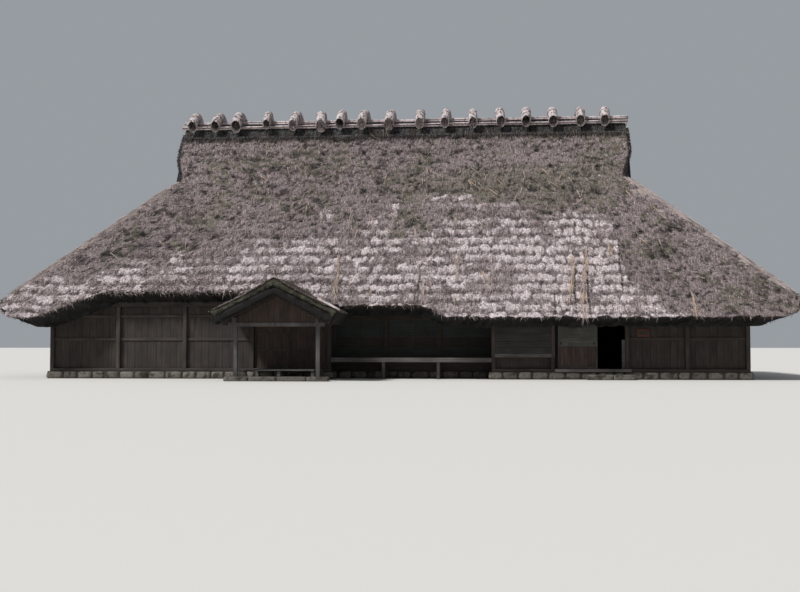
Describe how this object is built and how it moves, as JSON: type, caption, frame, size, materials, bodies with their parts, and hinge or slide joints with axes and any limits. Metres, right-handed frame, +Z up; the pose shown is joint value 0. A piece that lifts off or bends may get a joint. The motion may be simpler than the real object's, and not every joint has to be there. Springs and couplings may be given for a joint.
{
  "type": "thatched samurai residence",
  "caption": "Long thatched hip-and-gable country residence with a ridge held by straw rolls, an open veranda, a thatched porch and a sliding entrance door.",
  "frame": {"origin": "middle of the whole footprint, porch included, at ground level", "axes": "+X along the ridge to the right as seen from the front, +Y towards the back, +Z up; the veranda, the entrance and the porch face -Y"},
  "size_m": [27.4832, 14.2, 10.2378],
  "materials": {
    "thatch": "weathered thatch, mossy in places",
    "ridge_thatch": "dark weathered thatch",
    "straw_roll": "bleached straw and bark",
    "bamboo": "weathered bamboo",
    "timber": "old dark cedar",
    "pale_timber": "sun-bleached cedar",
    "boards": "weathered dark boards",
    "door_boards": "weathered brown boards",
    "screen": "dark panelled sliding screens",
    "stone": "rough field stone"
  },
  "bodies": {
    "house": {"thatch_front": "thatch", "thatch_back": "thatch", "thatch_left_end": "thatch", "thatch_right_end": "thatch", "gable_left": "boards", "gable_right": "boards", "ridge_cap": "ridge_thatch", "ridge_pole_front": "bamboo", "ridge_pole_back": "bamboo", "ridge_rolls": "straw_roll", "roof_frame_front": "timber", "roof_frame_back": "timber", "roof_frame_left": "timber", "roof_frame_right": "timber", "footing": "stone", "front_frame_left": "timber", "front_frame_right": "timber", "back_frame": "timber", "left_frame": "timber", "right_frame": "timber", "wall_plates": "timber", "front_wall_left": "boards", "porch_doors": "door_boards", "front_wall_middle": "boards", "door_head_wall": "boards", "front_wall_right": "boards", "back_wall": "boards", "left_wall": "boards", "right_wall": "boards", "room_floor": "timber", "veranda_floor": "pale_timber", "screen_frame": "timber", "veranda_screen_1": "screen", "veranda_screen_2": "screen", "veranda_screen_3": "screen", "veranda_end_left": "boards", "veranda_end_right": "boards", "shutter_box": "pale_timber", "threshold": "pale_timber", "door_track": "timber", "low_jamb": "pale_timber", "stone_step": "stone", "porch_roof_left": "thatch", "porch_roof_right": "thatch", "porch_frame": "pale_timber", "porch_gable": "door_boards", "porch_stone": "stone", "porch_floor": "pale_timber"},
    "door": {"door_leaf": "door_boards"}
  },
  "joints": [
    {"name": "door_slide", "type": "slide", "parent": "house", "child": "door", "axis": [1, 0, 0], "range_m": [0, 1.03]}
  ]
}
